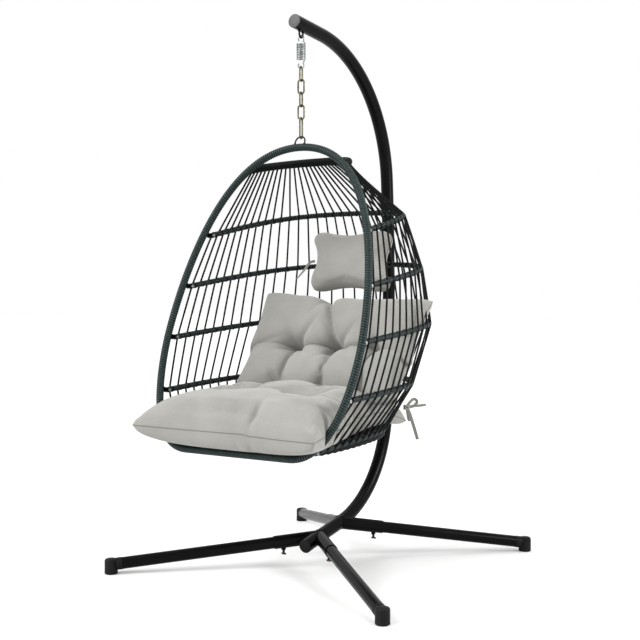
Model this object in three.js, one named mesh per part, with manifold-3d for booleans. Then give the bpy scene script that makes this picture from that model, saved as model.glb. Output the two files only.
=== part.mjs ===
// Hanging egg chair: a curved steel stand on four splayed legs, a spring and chain,
// and a folding basket of wrapped U-bars strung with cords, with a tufted cushion.
// Millimetres, +Z up. The basket's mouth faces -Y and the post stands behind it.
// The origin is on the floor, at the centre of the stand's footprint.
import * as THREE from 'three';
import { mergeVertices } from 'three/addons/utils/BufferGeometryUtils.js';
import Module from 'manifold-3d';

const wasm = await Module();
wasm.setup();

const rad = THREE.MathUtils.degToRad;
const vec = (x, y, z) => new THREE.Vector3(x, y, z);
const SIDES = [['left', -1], ['right', 1]];

// ---- driving dimensions ----
const GAP = 0.3; // between pieces that touch
const CLEAR = 0.5; // between pieces that slide together

// Post: one bent tube in the X = 0 plane, walked from its upper tip to its base end.
const POST_TIP = { y: -194, z: 1924, heading: rad(-6) };
const POST_RUNS = [
  { length: 170, turn: 0 },
  { length: 520 * rad(80), turn: -rad(80) },
  { length: 6480 * rad(8), turn: -rad(8) },
  { length: 420 * rad(74), turn: -rad(74) },
  { length: 243, turn: 0 },
];
const POST_LENGTH = POST_RUNS.reduce((sum, run) => sum + run.length, 0);
const POST_R = 24;
const POST_BORE_R = 22.5;
const POST_JOINT = 1525; // distance from the tip to the joint between its two tubes
const SPIGOT = { length: 65, radius: 22.1, boreRadius: 19.6, weldRadius: 23.2 };
const POST_BOLT_FROM_JOINT = 18;
const POST_BOLT_PITCH = 28;
const POST_BOLT_HOLE_R = 5;

// Legs and the sleeves that hold them.
const LEG_R = 21;
const LEG_BORE_R = 19.5;
const SLEEVE_R = 23.8;
const SLEEVE_BORE_R = 22.2;
const SLEEVE_LENGTH = 165;
const SLEEVE_SOLID = 30;
const THUMB_BOLT_FROM_END = 35;
const FOOT_R = 23;
const FOOT_HEIGHT = 54;
const LEG_PAIRS = [
  { name: 'front', root: vec(0, -39, 108.3), foot: vec(552, -530, 32) },
  { name: 'rear', root: vec(0, 96, 136.9), foot: vec(516, 602, 32) },
];

// Hanging gear, all on one vertical line.
const HANG_Y = -154;
const CHAIN_TURN = rad(12); // how far the chain has turned from square
const EYE_ROD_R = 3.5;
const EYE_BOTTOM_Z = 1873.5;
const EYE_HALF_WIDTH = 10.5;
const SPRING_WIRE_R = 2.5;
const COIL_R = 13.9;
const COIL_TURNS = 10;
const COIL_TOP_Z = 1854.5;
const COIL_BOTTOM_Z = 1797;
const HOOK_R = 10.5;
const LINK_WIRE_R = 3;
const LINK_WIDTH = 28;
const LINK_LENGTH = 57;
const LAST_LINK_LENGTH = 79;
const LINK_COUNT = 5;
const LINK_PLAY = 0.8; // between links

// Basket: its own frame is at the top of the hoop, leaning forward at the foot.
const LEAN = rad(19.4);
const HOOP_R = 12.5;
const HOOP_WIDEST = { half: 400, down: 700 };
const HOOP_BOTTOM = { half: 209, down: 1087.5 };
const HOOP_LOWER_PULL = { side: 87, corner: 13 }; // how the lower bends leave the sides
const RING_ROD_R = 2.75;
const RING_R = 20;
const BAR_R = 8.75;
const PIVOT_BACK = 23; // pivots sit this far behind the hoop's plane
const PIVOT_INSET = 13; // and the bars this far inside the hoop's centreline
const BOSS_R = 9;
const BOSS_HALF = 9.4;
const TAB_THICKNESS = 3;
const FRONT_ROD_R = 6; // across the seat frame's mouth
const BOLT_R = 3.2;
const BOLT_HOLE_R = 4;
// Each bar: how far down the hoop, its depth, its rise from square to the hoop,
// how far its sides bulge, and how square its rear corners are (0 to 1).
const BARS = [
  { name: 'u_bar_1', down: 311, depth: 450, rise: rad(31), bulge: 4, square: 0.784 },
  { name: 'u_bar_2', down: 503, depth: 610, rise: rad(27.2), bulge: 8, square: 0.784 },
  { name: 'u_bar_3', down: 693, depth: 700, rise: rad(24.2), bulge: 16, square: 0.828 },
  { name: 'u_bar_4', down: 885, depth: 620, rise: rad(22.3), bulge: 34, square: 0.854 },
  { name: 'seat_frame', down: 1056, depth: 600, rise: rad(22.5), bulge: 22, square: 0.9 },
];
const TOP_BAR = { down: 74, depth: 140, rise: rad(31), square: 0.6, radius: 14 };

// Cords strung over the bars.
const CORD_COUNT = 38;
const CORD_WIDTH = 5;
const RAIL_HEIGHT = 5;
const SEAT_CORD_COUNT = 15;
const SEAT_CORD_SPAN = { from: 0.27, to: 0.73 }; // the share of the frame that they reach

// ---- materials ----
function finish(color, roughness, metalness) {
  return new THREE.MeshStandardMaterial({ color, roughness, metalness });
}
const BLACK_STEEL = finish(0x1b1c1d, 0.42, 0.3);
const BLACK_PLASTIC = finish(0x161616, 0.6, 0);
const GREY_PLASTIC = finish(0x6c696a, 0.6, 0);
const ZINC = finish(0xc9ccca, 0.3, 1);
const YELLOW_ZINC = finish(0xa98a4a, 0.35, 1);
const CHAIN_STEEL = finish(0x6f705c, 0.4, 1);
const WICKER = finish(0x33403f, 0.55, 0);
const CORD = finish(0x15181a, 0.7, 0);
const CUSHION = finish(0xb9bbb6, 0.9, 0);

// ---- solids ----
function toSolid(geometry) {
  const bare = geometry.clone();
  bare.deleteAttribute('normal');
  bare.deleteAttribute('uv');
  const merged = mergeVertices(bare, 1e-3);
  const vertProperties = new Float32Array(merged.attributes.position.array);
  const triVerts = new Uint32Array(merged.index.array);
  return new wasm.Manifold(new wasm.Mesh({ numProp: 3, vertProperties, triVerts }));
}

function toGeometry(solid) {
  const mesh = solid.getMesh();
  const geometry = new THREE.BufferGeometry();
  geometry.setAttribute('position', new THREE.BufferAttribute(mesh.vertProperties, 3));
  geometry.setIndex(new THREE.BufferAttribute(mesh.triVerts, 1));
  geometry.computeVertexNormals();
  return geometry;
}

function join(...pieces) {
  return toGeometry(pieces.map(toSolid).reduce((whole, piece) => whole.add(piece)));
}

function cut(geometry, ...tools) {
  return toGeometry(tools.map(toSolid).reduce((left, tool) => left.subtract(tool), toSolid(geometry)));
}

// Stands a geometry made along +Y at a place, pointing another way.
function stand(geometry, place, direction) {
  const turn = new THREE.Quaternion().setFromUnitVectors(vec(0, 1, 0), direction.clone().normalize());
  return geometry.applyQuaternion(turn).translate(place.x, place.y, place.z);
}

function rod(from, to, radius, sides = 8) {
  const length = from.distanceTo(to);
  const geometry = new THREE.CylinderGeometry(radius, radius, length, sides);
  return stand(geometry.translate(0, length / 2, 0), from, to.clone().sub(from));
}

function polygon(radius, sides) {
  const corner = (i) => (2 * Math.PI * i) / sides;
  return Array.from({ length: sides }, (_, i) => {
    return new THREE.Vector2(radius * Math.cos(corner(i)), radius * Math.sin(corner(i)));
  });
}

// A bar along a curve, or a tube if it has a bore.
function sweep(curve, steps, radius, sides, boreRadius = 0, boreSides = 8) {
  const section = new THREE.Shape(polygon(radius, sides));
  if (boreRadius > 0) section.holes.push(new THREE.Path(polygon(boreRadius, boreSides)));
  return new THREE.ExtrudeGeometry(section, { steps, extrudePath: curve });
}

function turned(profile, segments) {
  return new THREE.LatheGeometry(profile.map(([r, y]) => new THREE.Vector2(r, y)), segments);
}

// ---- the chair ----
const chair = new THREE.Group();

function addPiece(parent, name, geometry, material) {
  const mesh = new THREE.Mesh(geometry, material.clone());
  mesh.name = name;
  parent.add(mesh);
}

// ---- post ----
function postAt(distance) {
  let { y, z, heading } = POST_TIP;
  let left = distance;
  for (const run of POST_RUNS) {
    const step = Math.min(left, run.length);
    const turn = (run.turn * step) / run.length;
    const chord = turn === 0 ? step : (2 * run.length * Math.sin(turn / 2)) / run.turn;
    y += chord * Math.cos(heading + turn / 2);
    z += chord * Math.sin(heading + turn / 2);
    heading += turn;
    left -= step;
  }
  const direction = vec(0, Math.cos(heading), Math.sin(heading));
  return { place: vec(0, y, z).addScaledVector(direction, left), direction };
}

class PostCurve extends THREE.Curve {
  constructor(from, to) {
    super();
    this.from = from;
    this.to = to;
  }

  getPoint(t) {
    return postAt(this.from + (this.to - this.from) * t).place;
  }
}

function archCurve(halfWidth, springing, rise) {
  // Up one leg, over a half circle and down the other, in the XZ plane.
  const path = new THREE.CurvePath();
  const arc = Array.from({ length: 9 }, (_, i) => {
    const angle = Math.PI - (Math.PI * i) / 8;
    return vec(halfWidth * Math.cos(angle), 0, rise + halfWidth * Math.sin(angle));
  });
  path.add(new THREE.LineCurve3(vec(-halfWidth, 0, springing), arc[0]));
  path.add(new THREE.CatmullRomCurve3(arc));
  path.add(new THREE.LineCurve3(arc[8], vec(halfWidth, 0, springing)));
  return path;
}

function hangingEye() {
  // An arch turned upside down, across the tube's length.
  const legs = 1900 - EYE_BOTTOM_Z;
  const arch = sweep(archCurve(EYE_HALF_WIDTH, -legs, -EYE_HALF_WIDTH), 14, EYE_ROD_R, 8);
  return arch.rotateX(Math.PI).rotateZ(Math.PI / 2).translate(0, HANG_Y, EYE_BOTTOM_Z);
}

function postBoltAxis(index) {
  return postAt(POST_JOINT - POST_BOLT_FROM_JOINT - POST_BOLT_PITCH * index).place;
}

function postBoltHoles() {
  return [0, 1].map((i) => boltHole(postBoltAxis(i), POST_R + 2, POST_BOLT_HOLE_R));
}

function boltHole(place, reach, radius) {
  return rod(place.clone().add(vec(-reach, 0, 0)), place.clone().add(vec(reach, 0, 0)), radius);
}

function upperPost() {
  const tube = sweep(new PostCurve(0, POST_JOINT), 26, POST_R, 12, POST_BORE_R, 6);
  return cut(join(tube, hangingEye()), ...postBoltHoles());
}

function legDirection(pair, side) {
  const foot = vec(pair.foot.x * side, pair.foot.y, pair.foot.z);
  return foot.sub(pair.root).normalize();
}

function legPoint(pair, side, distance) {
  return pair.root.clone().addScaledVector(legDirection(pair, side), distance);
}

function thumbBoltPlace(pair, side) {
  return legPoint(pair, side, SLEEVE_LENGTH - THUMB_BOLT_FROM_END);
}

function sleeves() {
  const pieces = [];
  for (const pair of LEG_PAIRS) {
    for (const [, side] of SIDES) {
      pieces.push(rod(pair.root, legPoint(pair, side, SLEEVE_LENGTH), SLEEVE_R, 12));
      const nut = thumbBoltPlace(pair, side);
      const nutProfile = [[0, -32], [5, -32], [9, -26], [9, -21], [0, -21]];
      pieces.push(turned(nutProfile, 8).rotateX(Math.PI / 2).translate(nut.x, nut.y, nut.z));
    }
  }
  return pieces;
}

function sleeveBores() {
  const tools = [];
  for (const pair of LEG_PAIRS) {
    for (const [, side] of SIDES) {
      const start = legPoint(pair, side, SLEEVE_SOLID);
      tools.push(rod(start, legPoint(pair, side, SLEEVE_LENGTH + 1), SLEEVE_BORE_R, 12));
      tools.push(thumbBoltHole(pair, side));
    }
  }
  return tools;
}

function thumbBoltHole(pair, side) {
  const place = thumbBoltPlace(pair, side);
  return rod(place.clone().add(vec(0, 0, -40)), place.clone().add(vec(0, 0, -10)), BOLT_HOLE_R);
}

function lowerPost() {
  const bar = sweep(new PostCurve(POST_JOINT + GAP, POST_LENGTH), 18, POST_R, 12);
  const bore = sweep(new PostCurve(POST_JOINT - 1, POST_LENGTH + 1), 18, POST_BORE_R, 6);
  const body = cut(join(bar, ...sleeves()), bore, ...sleeveBores());
  const { length, radius, boreRadius, weldRadius } = SPIGOT;
  const spigotRun = new PostCurve(POST_JOINT - length, POST_JOINT + 22);
  const spigot = sweep(spigotRun, 1, radius, 6, boreRadius, 6);
  const weld = sweep(new PostCurve(POST_JOINT + 2, POST_JOINT + 20), 1, weldRadius, 6, boreRadius, 6);
  return cut(join(body, spigot, weld), ...postBoltHoles());
}

function postBolt(index) {
  const reach = POST_R + GAP;
  const profile = [
    [0, -reach - 5], [6.5, -reach - 5], [6.5, -reach], [4, -reach],
    [4, reach], [6.5, reach], [6.5, reach + 6], [0, reach + 6],
  ];
  const place = postBoltAxis(index);
  return turned(profile, 10).rotateZ(Math.PI / 2).translate(place.x, place.y, place.z);
}

function endCap(distance, outward) {
  const profile = [[0, -16], [18.8, -16], [18.8, GAP], [24, GAP], [24, 2], [22, 3.5], [0, 3.5]];
  const end = postAt(distance);
  return stand(turned(profile, 12), end.place, end.direction.multiplyScalar(outward));
}

// ---- legs ----
function legEnd(pair, side) {
  return vec(pair.foot.x * side, pair.foot.y, pair.foot.z);
}

function leg(pair, side) {
  const start = legPoint(pair, side, SLEEVE_SOLID + 10);
  const tube = sweep(new THREE.LineCurve3(start, legEnd(pair, side)), 1, LEG_R, 12, LEG_BORE_R);
  const footRoom = new THREE.CylinderGeometry(FOOT_R + 1, FOOT_R + 1, 160, 16);
  footRoom.rotateX(Math.PI / 2).translate(pair.foot.x * side, pair.foot.y, 0);
  return cut(tube, footRoom, thumbBoltHole(pair, side));
}

function foot(pair, side) {
  const profile = [
    [0, 0], [21, 0], [FOOT_R, 2], [FOOT_R, FOOT_HEIGHT - 6],
    [21, FOOT_HEIGHT - 2], [17, FOOT_HEIGHT], [0, FOOT_HEIGHT],
  ];
  const cup = turned(profile, 14).rotateX(Math.PI / 2).translate(pair.foot.x * side, pair.foot.y, 0);
  const end = legEnd(pair, side);
  const plug = end.clone().addScaledVector(legDirection(pair, side), -62);
  return join(cup, rod(end, plug, LEG_BORE_R - 2, 8));
}

function thumbBolt(pair, side) {
  const place = thumbBoltPlace(pair, side);
  const shank = turned([[0, -46], [4, -46], [4, -35], [BOLT_R, -34], [BOLT_R, -13], [0, -13]], 10);
  const wing = new THREE.BoxGeometry(18, 10, 4).translate(0, -41, 0);
  return join(shank, wing).rotateX(Math.PI / 2).translate(place.x, place.y, place.z);
}

function buildStand() {
  addPiece(chair, 'upper_post', upperPost(), BLACK_STEEL);
  addPiece(chair, 'lower_post', lowerPost(), BLACK_STEEL);
  addPiece(chair, 'post_top_cap', endCap(0, -1), GREY_PLASTIC);
  addPiece(chair, 'post_base_cap', endCap(POST_LENGTH, 1), BLACK_PLASTIC);
  for (const i of [0, 1]) addPiece(chair, `post_bolt_${i + 1}`, postBolt(i), BLACK_STEEL);
  for (const pair of LEG_PAIRS) {
    for (const [sideName, side] of SIDES) {
      const label = `${pair.name}_${sideName}`;
      addPiece(chair, `leg_${label}`, leg(pair, side), BLACK_STEEL);
      addPiece(chair, `foot_${label}`, foot(pair, side), BLACK_PLASTIC);
      addPiece(chair, `thumb_bolt_${label}`, thumbBolt(pair, side), YELLOW_ZINC);
    }
  }
}

// ---- spring and chain ----
const SPRING_TOP_HOOK_Z = EYE_BOTTOM_Z + EYE_ROD_R + LINK_PLAY - (HOOK_R - SPRING_WIRE_R);
const SPRING_LOW_HOOK_Z = 1777.6;

function hookPoints(centreZ, sense) {
  // From beside the coil, round the closed side and on to the free end.
  return Array.from({ length: 12 }, (_, i) => {
    const angle = sense * rad(-40 + (265 * i) / 11);
    return vec(HOOK_R * Math.cos(angle), 0, centreZ + HOOK_R * Math.sin(angle));
  });
}

function springPoints() {
  const perTurn = 8;
  const count = COIL_TURNS * perTurn;
  const coil = Array.from({ length: count + 1 }, (_, i) => {
    const angle = (2 * Math.PI * i) / perTurn;
    const z = COIL_TOP_Z + ((COIL_BOTTOM_Z - COIL_TOP_Z) * i) / count;
    return vec(COIL_R * Math.cos(angle), COIL_R * Math.sin(angle), z);
  });
  return [...hookPoints(SPRING_TOP_HOOK_Z, 1).reverse(), ...coil, ...hookPoints(SPRING_LOW_HOOK_Z, -1)];
}

function spring() {
  const curve = new THREE.CatmullRomCurve3(springPoints(), false, 'centripetal');
  return sweep(curve, 100, SPRING_WIRE_R, 5).rotateZ(CHAIN_TURN).translate(0, HANG_Y, 0);
}

class LinkCurve extends THREE.Curve {
  constructor(length) {
    super();
    this.radius = LINK_WIDTH / 2 - LINK_WIRE_R;
    this.straight = length - LINK_WIDTH;
  }

  // Round the link's centreline, from the middle of one end: each half of the lap is a
  // straight side and then an arc.
  getPoint(t) {
    const arc = Math.PI * this.radius;
    const half = arc + this.straight;
    const lap = (t * 2 * half + this.straight + arc / 2) % (2 * half);
    const back = lap >= half;
    const along = back ? lap - half : lap;
    const sign = back ? -1 : 1;
    if (along < this.straight) return vec(sign * this.radius, 0, sign * (along - this.straight / 2));
    const angle = (along - this.straight) / this.radius;
    const z = this.straight / 2 + this.radius * Math.sin(angle);
    return vec(sign * this.radius * Math.cos(angle), 0, sign * z);
  }
}

function link(length, centreZ, quarterTurns) {
  const turn = CHAIN_TURN + (quarterTurns * Math.PI) / 2;
  const ring = new THREE.TubeGeometry(new LinkCurve(length), 16, LINK_WIRE_R, 6, true);
  return ring.rotateZ(turn).translate(0, HANG_Y, centreZ);
}

function linkLength(index) {
  return index === LINK_COUNT - 1 ? LAST_LINK_LENGTH : LINK_LENGTH;
}

// Top of each link: it hangs on the inside of the piece above.
function linkTop(index) {
  const seat = index === 0
    ? SPRING_LOW_HOOK_Z - HOOK_R + SPRING_WIRE_R
    : linkTop(index - 1) - linkLength(index - 1) + 2 * LINK_WIRE_R;
  return seat + LINK_PLAY + 2 * LINK_WIRE_R;
}

function buildHangingGear() {
  addPiece(chair, 'suspension_spring', spring(), ZINC);
  for (let i = 0; i < LINK_COUNT; i += 1) {
    const centre = linkTop(i) - linkLength(i) / 2;
    addPiece(chair, `chain_link_${i + 1}`, link(linkLength(i), centre, i + 1), CHAIN_STEEL);
  }
}

// ---- basket ----
const RING_SEAT_Z = linkTop(LINK_COUNT - 1) - LAST_LINK_LENGTH + 2 * LINK_WIRE_R + LINK_PLAY + RING_ROD_R;
const RING_RISE = 40.7; // hoop's centreline to the top of the hanging ring's
const basket = new THREE.Group();
basket.position.set(0, HANG_Y - RING_RISE * Math.sin(LEAN), RING_SEAT_Z - RING_RISE * Math.cos(LEAN));
basket.rotation.x = -LEAN;

function hoopSide() {
  // Right half, from the top centre down to the start of the flat foot.
  const { half, down } = HOOP_WIDEST;
  const foot = HOOP_BOTTOM;
  const { side, corner } = HOOP_LOWER_PULL;
  const widest = vec(half, 0, -down);
  return [
    [vec(0, 0, 0), vec(half, 0, 0), vec(half, 0, 1 - down), widest],
    [widest, vec(half, 0, -down - side), vec(half - corner, 0, -foot.down), vec(foot.half, 0, -foot.down)],
  ];
}

function mirrored(points) {
  return points.map((p) => vec(-p.x, p.y, p.z)).reverse();
}

function hoopCurve() {
  const path = new THREE.CurvePath();
  const [upper, lower] = hoopSide();
  path.add(new THREE.CubicBezierCurve3(...upper));
  path.add(new THREE.CubicBezierCurve3(...lower));
  path.add(new THREE.LineCurve3(lower[3], mirrored(lower)[0]));
  path.add(new THREE.CubicBezierCurve3(...mirrored(lower)));
  path.add(new THREE.CubicBezierCurve3(...mirrored(upper)));
  return path;
}

function hoopHalfWidth(down) {
  const points = hoopSide().flatMap((side) => new THREE.CubicBezierCurve3(...side).getPoints(60));
  const below = points.findIndex((p) => -p.z >= down);
  const [a, b] = [points[below - 1], points[below]];
  return a.x + ((b.x - a.x) * (down + a.z)) / (a.z - b.z);
}

function barHalfWidth(bar) {
  return hoopHalfWidth(bar.down) - PIVOT_INSET;
}

// A U-bar's centreline from its left pivot round the back to its right pivot.
function barCurve(bar, half, back) {
  const at = (x, reach) => {
    return vec(x, back + reach * Math.cos(bar.rise), reach * Math.sin(bar.rise) - bar.down);
  };
  const { depth, square, bulge = 0 } = bar;
  const right = [at(0, depth), at(half * square, depth), at(half + bulge, depth * square), at(half, 0)];
  const path = new THREE.CurvePath();
  path.add(new THREE.CubicBezierCurve3(...mirrored(right)));
  path.add(new THREE.CubicBezierCurve3(...right));
  return path;
}

function pivotPlace(bar, x) {
  return vec(x, PIVOT_BACK, -bar.down);
}

function hoopTube(radius) {
  return new THREE.TubeGeometry(hoopCurve(), 68, radius, 8, true);
}

function hoop() {
  const ring = sweep(archCurve(RING_R, 6, RING_RISE - RING_R), 14, RING_ROD_R, 6);
  const pieces = [hoopTube(HOOP_R), ring];
  for (const bar of BARS) {
    for (const [, side] of SIDES) pieces.push(tab(bar, side));
  }
  const holes = BARS.map((bar) => boltHole(pivotPlace(bar, 0), HOOP_WIDEST.half + 30, BOLT_HOLE_R));
  return cut(join(...pieces), ...holes);
}

// A pivot's lug, from the middle of the hoop's tube to a round end about the bolt.
function tab(bar, side) {
  const outline = new THREE.Shape();
  const tall = 9;
  outline.moveTo(0, -tall);
  outline.lineTo(PIVOT_BACK, -tall);
  outline.absarc(PIVOT_BACK, 0, tall, -Math.PI / 2, Math.PI / 2);
  outline.lineTo(0, tall);
  const options = { depth: TAB_THICKNESS, bevelEnabled: false, curveSegments: 3 };
  const plate = new THREE.ExtrudeGeometry(outline, options);
  plate.applyMatrix4(new THREE.Matrix4().makeBasis(vec(0, 1, 0), vec(0, 0, 1), vec(1, 0, 0)));
  const inner = barHalfWidth(bar) + BOSS_HALF + CLEAR;
  return plate.translate(side > 0 ? inner : -inner - TAB_THICKNESS, 0, -bar.down);
}

function topBar() {
  const bar = sweep(barCurve(TOP_BAR, hoopHalfWidth(TOP_BAR.down), 0), 18, TOP_BAR.radius, 8);
  return cut(bar, hoopTube(HOOP_R + GAP));
}

function uBar(bar) {
  const half = barHalfWidth(bar);
  const pieces = [sweep(barCurve(bar, half, PIVOT_BACK), 26, BAR_R, 6)];
  for (const [, side] of SIDES) {
    const inner = pivotPlace(bar, side * (half - BOSS_HALF));
    pieces.push(rod(inner, pivotPlace(bar, side * (half + BOSS_HALF)), BOSS_R, 10));
  }
  if (bar.name === 'seat_frame') {
    const end = half - 2;
    pieces.push(rod(pivotPlace(bar, -end), pivotPlace(bar, end), FRONT_ROD_R, 8));
  }
  const holes = SIDES.map(([, side]) => {
    return rod(pivotPlace(bar, side * (half - 11)), pivotPlace(bar, side * (half + 11)), BOLT_HOLE_R);
  });
  return cut(join(...pieces), ...holes);
}

function pivotBolt(bar, side) {
  const inner = barHalfWidth(bar) - BOSS_HALF;
  const head = barHalfWidth(bar) + BOSS_HALF + CLEAR + TAB_THICKNESS + GAP;
  const start = bar.name === 'seat_frame' ? inner + GAP : inner - 5;
  const nut = bar.name === 'seat_frame' ? [] : [[5.5, start], [5.5, inner - GAP], [BOLT_R, inner - GAP]];
  const tip = nut.length ? [] : [[BOLT_R, start]];
  const dome = [[BOLT_R, head], [6.5, head], [5.5, head + 3.5], [0, head + 4.5]];
  const profile = [[0, start], ...nut, ...tip, ...dome];
  return turned(profile, 6).rotateZ(-side * Math.PI / 2).translate(0, PIVOT_BACK, -bar.down);
}

// ---- cords ----
// How far along a cord the bar's surface is passed, for a cord that may cross it aslant.
function passed(curve, u, cord, radius) {
  const slant = Math.abs(curve.getTangentAt(u).dot(cord));
  return (radius + CLEAR + (CORD_WIDTH / 2) * (slant + 0.6)) / Math.sqrt(1 - slant * slant);
}

// One edge of a cord, strung from bar to bar: its start, the rail's lower edge and its end,
// each on the basket's inside and outside.
function cordEdge(upper, lower, u) {
  const top = upper.curve.getPointAt(u);
  const cord = lower.curve.getPointAt(u).sub(top);
  const length = cord.length();
  cord.normalize();
  const start = passed(upper.curve, u, cord, upper.radius);
  const end = length - passed(lower.curve, u, cord, lower.radius);
  const outward = upper.curve.getTangentAt(u).cross(cord).normalize();
  return [start, start + RAIL_HEIGHT, end].flatMap((along) => [-0.5, 0.5].map((proud) => {
    return top.clone().addScaledVector(cord, along).addScaledVector(outward, proud * CORD_WIDTH);
  }));
}

// A net of flat cords side by side, joined by a rail under the upper bar.
function net(upper, lower, first, last, count) {
  const reach = CORD_WIDTH / 2 / upper.curve.getLength();
  const corners = [];
  const faces = [];
  const quad = (a, b, c, d) => faces.push(a, b, c, a, c, d);
  for (let i = first; i <= last; i += 1) {
    const middle = (i + 0.5) / count;
    corners.push(...cordEdge(upper, lower, middle - reach), ...cordEdge(upper, lower, middle + reach));
  }
  // An edge's corners: 0 and 1 at the start, 2 and 3 at the rail, 4 and 5 at the end.
  for (let edge = 0; edge * 6 < corners.length; edge += 1) {
    const l = edge * 6;
    const r = l + 6;
    const startsCord = edge % 2 === 0;
    if (startsCord) quad(l + 2, l + 3, l + 5, l + 4);
    else quad(l + 2, l + 4, l + 5, l + 3);
    if (r >= corners.length) break;
    quad(l, r, r + 1, l + 1);
    quad(l + 1, r + 1, r + 3, l + 3);
    quad(l, l + 2, r + 2, r);
    if (startsCord) {
      quad(l + 3, r + 3, r + 5, l + 5);
      quad(l + 2, l + 4, r + 4, r + 2);
      quad(l + 4, l + 5, r + 5, r + 4);
    } else {
      quad(l + 2, l + 3, r + 3, r + 2);
    }
  }
  const end = corners.length - 6;
  quad(0, 1, 3, 2);
  quad(end, end + 2, end + 3, end + 1);
  const geometry = new THREE.BufferGeometry().setFromPoints(corners);
  geometry.setIndex(faces);
  geometry.computeVertexNormals();
  return geometry;
}

function strungBars() {
  const top = { curve: barCurve(TOP_BAR, hoopHalfWidth(TOP_BAR.down), 0), radius: TOP_BAR.radius };
  const bars = BARS.map((bar) => {
    return { curve: barCurve(bar, barHalfWidth(bar), PIVOT_BACK), radius: BAR_R };
  });
  return [top, ...bars];
}

function cordNet(level, side) {
  const [upper, lower] = strungBars().slice(level, level + 2);
  const skipped = level === 0 ? 1 : 0; // the hoop stands in the way of the outermost cords
  const half = CORD_COUNT / 2;
  return side < 0
    ? net(upper, lower, skipped, half - 1, CORD_COUNT)
    : net(upper, lower, half, CORD_COUNT - 1 - skipped, CORD_COUNT);
}

// The seat's cords run from the frame's front rod to its curved rear.
function seatNet() {
  const bar = BARS[BARS.length - 1];
  const half = barHalfWidth(bar);
  const front = new THREE.LineCurve3(pivotPlace(bar, -half), pivotPlace(bar, half));
  const rear = new THREE.Curve();
  const rim = barCurve(bar, half, PIVOT_BACK);
  const { from, to } = SEAT_CORD_SPAN;
  rear.getPoint = (t) => rim.getPointAt(from + (to - from) * t);
  const frontRod = { curve: front, radius: FRONT_ROD_R };
  return net(frontRod, { curve: rear, radius: BAR_R }, 0, SEAT_CORD_COUNT - 1, SEAT_CORD_COUNT);
}

// ---- cushions ----
// A stuffed block: a ball squared off in plan and, less so, across its thickness.
function stuffed(halfX, halfY, halfZ, planPower, edgePower, flare = 0) {
  const ball = new THREE.SphereGeometry(1, 16, 8).rotateX(Math.PI / 2);
  const position = ball.attributes.position;
  const power = (value, exponent) => Math.sign(value) * Math.abs(value) ** (2 / exponent);
  for (let i = 0; i < position.count; i += 1) {
    const v = vec().fromBufferAttribute(position, i);
    const level = Math.hypot(v.x, v.y);
    const plan = level < 1e-6 ? 0 : power(level, edgePower);
    const angle = Math.atan2(v.y, v.x);
    const forward = -plan * power(Math.sin(angle), planPower);
    const x = halfX * (1 + flare * forward) * plan * power(Math.cos(angle), planPower);
    position.setXYZ(i, x, -halfY * forward, halfZ * power(v.z, edgePower));
  }
  return ball;
}

function placed(geometry, tilt, x, y, z) {
  return geometry.rotateX(tilt).translate(x, y, z);
}

// The seat spreads a little where it comes forward out of the basket.
function seatCushion(grow) {
  return placed(stuffed(302 + grow, 350 + grow, 68 + grow, 4, 2.3, 0.18), rad(4.5), 0, -276, 579);
}

function lowerBack(grow) {
  return placed(stuffed(298 + grow, 108 + grow, 70 + grow, 3, 2.4), rad(52), 0, -40, 712);
}

function upperBack(grow) {
  return placed(stuffed(312 + grow, 120 + grow, 62 + grow, 3.4, 2.4), rad(60), 0, 58, 868);
}

function headPillow() {
  return placed(stuffed(188, 122, 42, 4, 2.4), rad(68), 20, 148, 1100);
}

function buildCushions() {
  addPiece(chair, 'seat_cushion', seatCushion(0), CUSHION);
  addPiece(chair, 'lower_back_cushion', cut(lowerBack(0), seatCushion(GAP)), CUSHION);
  addPiece(chair, 'upper_back_cushion', cut(upperBack(0), lowerBack(GAP)), CUSHION);
  addPiece(chair, 'head_pillow', headPillow(), CUSHION);
}

function buildBasket() {
  chair.add(basket);
  addPiece(basket, 'hoop', hoop(), WICKER);
  addPiece(basket, 'top_bar', topBar(), CORD);
  for (const bar of BARS) {
    addPiece(basket, bar.name, uBar(bar), CORD);
    for (const [sideName, side] of SIDES) {
      addPiece(basket, `pivot_bolt_${bar.name}_${sideName}`, pivotBolt(bar, side), ZINC);
    }
  }
  for (let level = 0; level < BARS.length; level += 1) {
    for (const [sideName, side] of SIDES) {
      addPiece(basket, `cord_net_${level + 1}_${sideName}`, cordNet(level, side), CORD);
    }
  }
  addPiece(basket, 'seat_net', seatNet(), CORD);
}

buildStand();
buildHangingGear();
buildBasket();
buildCushions();

export default chair;
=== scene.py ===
"""Hanging egg chair: the visible model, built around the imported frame.

Metres, +Z up, the basket's mouth towards -Y. The shapes repeat the driving dimensions of the
CAD part, and every piece rides on one of its bodies.
"""
import math
import random

import bpy
from mathutils import Matrix, Vector


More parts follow.
